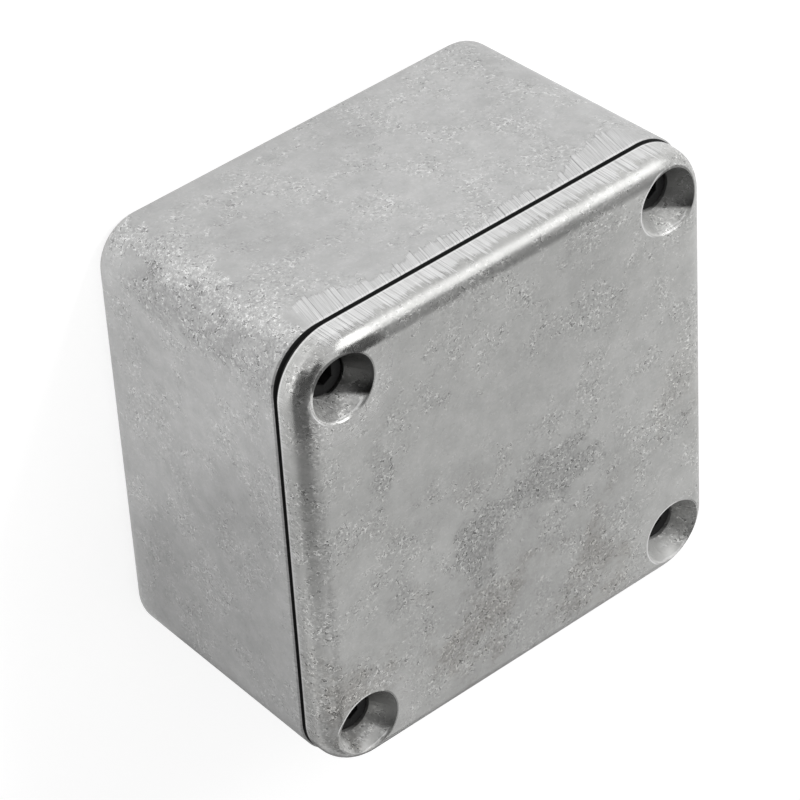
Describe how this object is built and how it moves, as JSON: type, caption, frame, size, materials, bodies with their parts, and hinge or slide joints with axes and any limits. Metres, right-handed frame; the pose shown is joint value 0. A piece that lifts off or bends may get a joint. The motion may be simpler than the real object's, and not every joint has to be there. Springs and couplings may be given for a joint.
{
  "type": "die cast aluminium box",
  "caption": "Square die cast aluminium box with rounded edges, a sealed screw-down lid with conical screw recesses, wall fixing holes and board bosses.",
  "frame": {"origin": "middle of the outside of the back, on the plane that the box lies on", "axes": "+Z from the back out through the lid; X and Y along the sides, with the wall fixings on the Y axis"},
  "size_m": [0.065, 0.065, 0.04],
  "materials": {
    "cast_aluminium": "tumbled as-cast, mottled matte grey",
    "gasket_rubber": "matte black",
    "black_steel": "black oxide",
    "nylon": "natural"
  },
  "bodies": {
    "box": {"base": "cast_aluminium"},
    "cover": {"lid": "cast_aluminium", "gasket": "gasket_rubber"},
    "retainer_1": {"retaining_washer_1": "nylon"},
    "retainer_2": {"retaining_washer_2": "nylon"},
    "retainer_3": {"retaining_washer_3": "nylon"},
    "retainer_4": {"retaining_washer_4": "nylon"},
    "screw_1": {"lid_screw_1": "black_steel"},
    "screw_2": {"lid_screw_2": "black_steel"},
    "screw_3": {"lid_screw_3": "black_steel"},
    "screw_4": {"lid_screw_4": "black_steel"}
  },
  "joints": [
    {"name": "cover_lift", "type": "slide", "parent": "box", "child": "cover", "axis": [0, 0, 1], "range_m": [0, 0.03]},
    {"name": "screw_1_travel", "type": "slide", "parent": "cover", "child": "retainer_1", "axis": [0, 0, 1], "range_m": [0, 0.0065]},
    {"name": "screw_1_turn", "type": "hinge", "parent": "retainer_1", "child": "screw_1", "pos_m": [-0.026, 0.026, 0], "axis": [0, 0, 1], "range_deg": [0, 4680]},
    {"name": "screw_2_travel", "type": "slide", "parent": "cover", "child": "retainer_2", "axis": [0, 0, 1], "range_m": [0, 0.0065]},
    {"name": "screw_2_turn", "type": "hinge", "parent": "retainer_2", "child": "screw_2", "pos_m": [0.026, 0.026, 0], "axis": [0, 0, 1], "range_deg": [0, 4680]},
    {"name": "screw_3_travel", "type": "slide", "parent": "cover", "child": "retainer_3", "axis": [0, 0, 1], "range_m": [0, 0.0065]},
    {"name": "screw_3_turn", "type": "hinge", "parent": "retainer_3", "child": "screw_3", "pos_m": [0.026, -0.026, 0], "axis": [0, 0, 1], "range_deg": [0, 4680]},
    {"name": "screw_4_travel", "type": "slide", "parent": "cover", "child": "retainer_4", "axis": [0, 0, 1], "range_m": [0, 0.0065]},
    {"name": "screw_4_turn", "type": "hinge", "parent": "retainer_4", "child": "screw_4", "pos_m": [-0.026, -0.026, 0], "axis": [0, 0, 1], "range_deg": [0, 4680]}
  ],
  "couplings": [
    {"joint": "screw_1_turn", "follows": "screw_1_travel", "rad_per_m": 12566},
    {"joint": "screw_2_turn", "follows": "screw_2_travel", "rad_per_m": 12566},
    {"joint": "screw_3_turn", "follows": "screw_3_travel", "rad_per_m": 12566},
    {"joint": "screw_4_turn", "follows": "screw_4_travel", "rad_per_m": 12566}
  ]
}
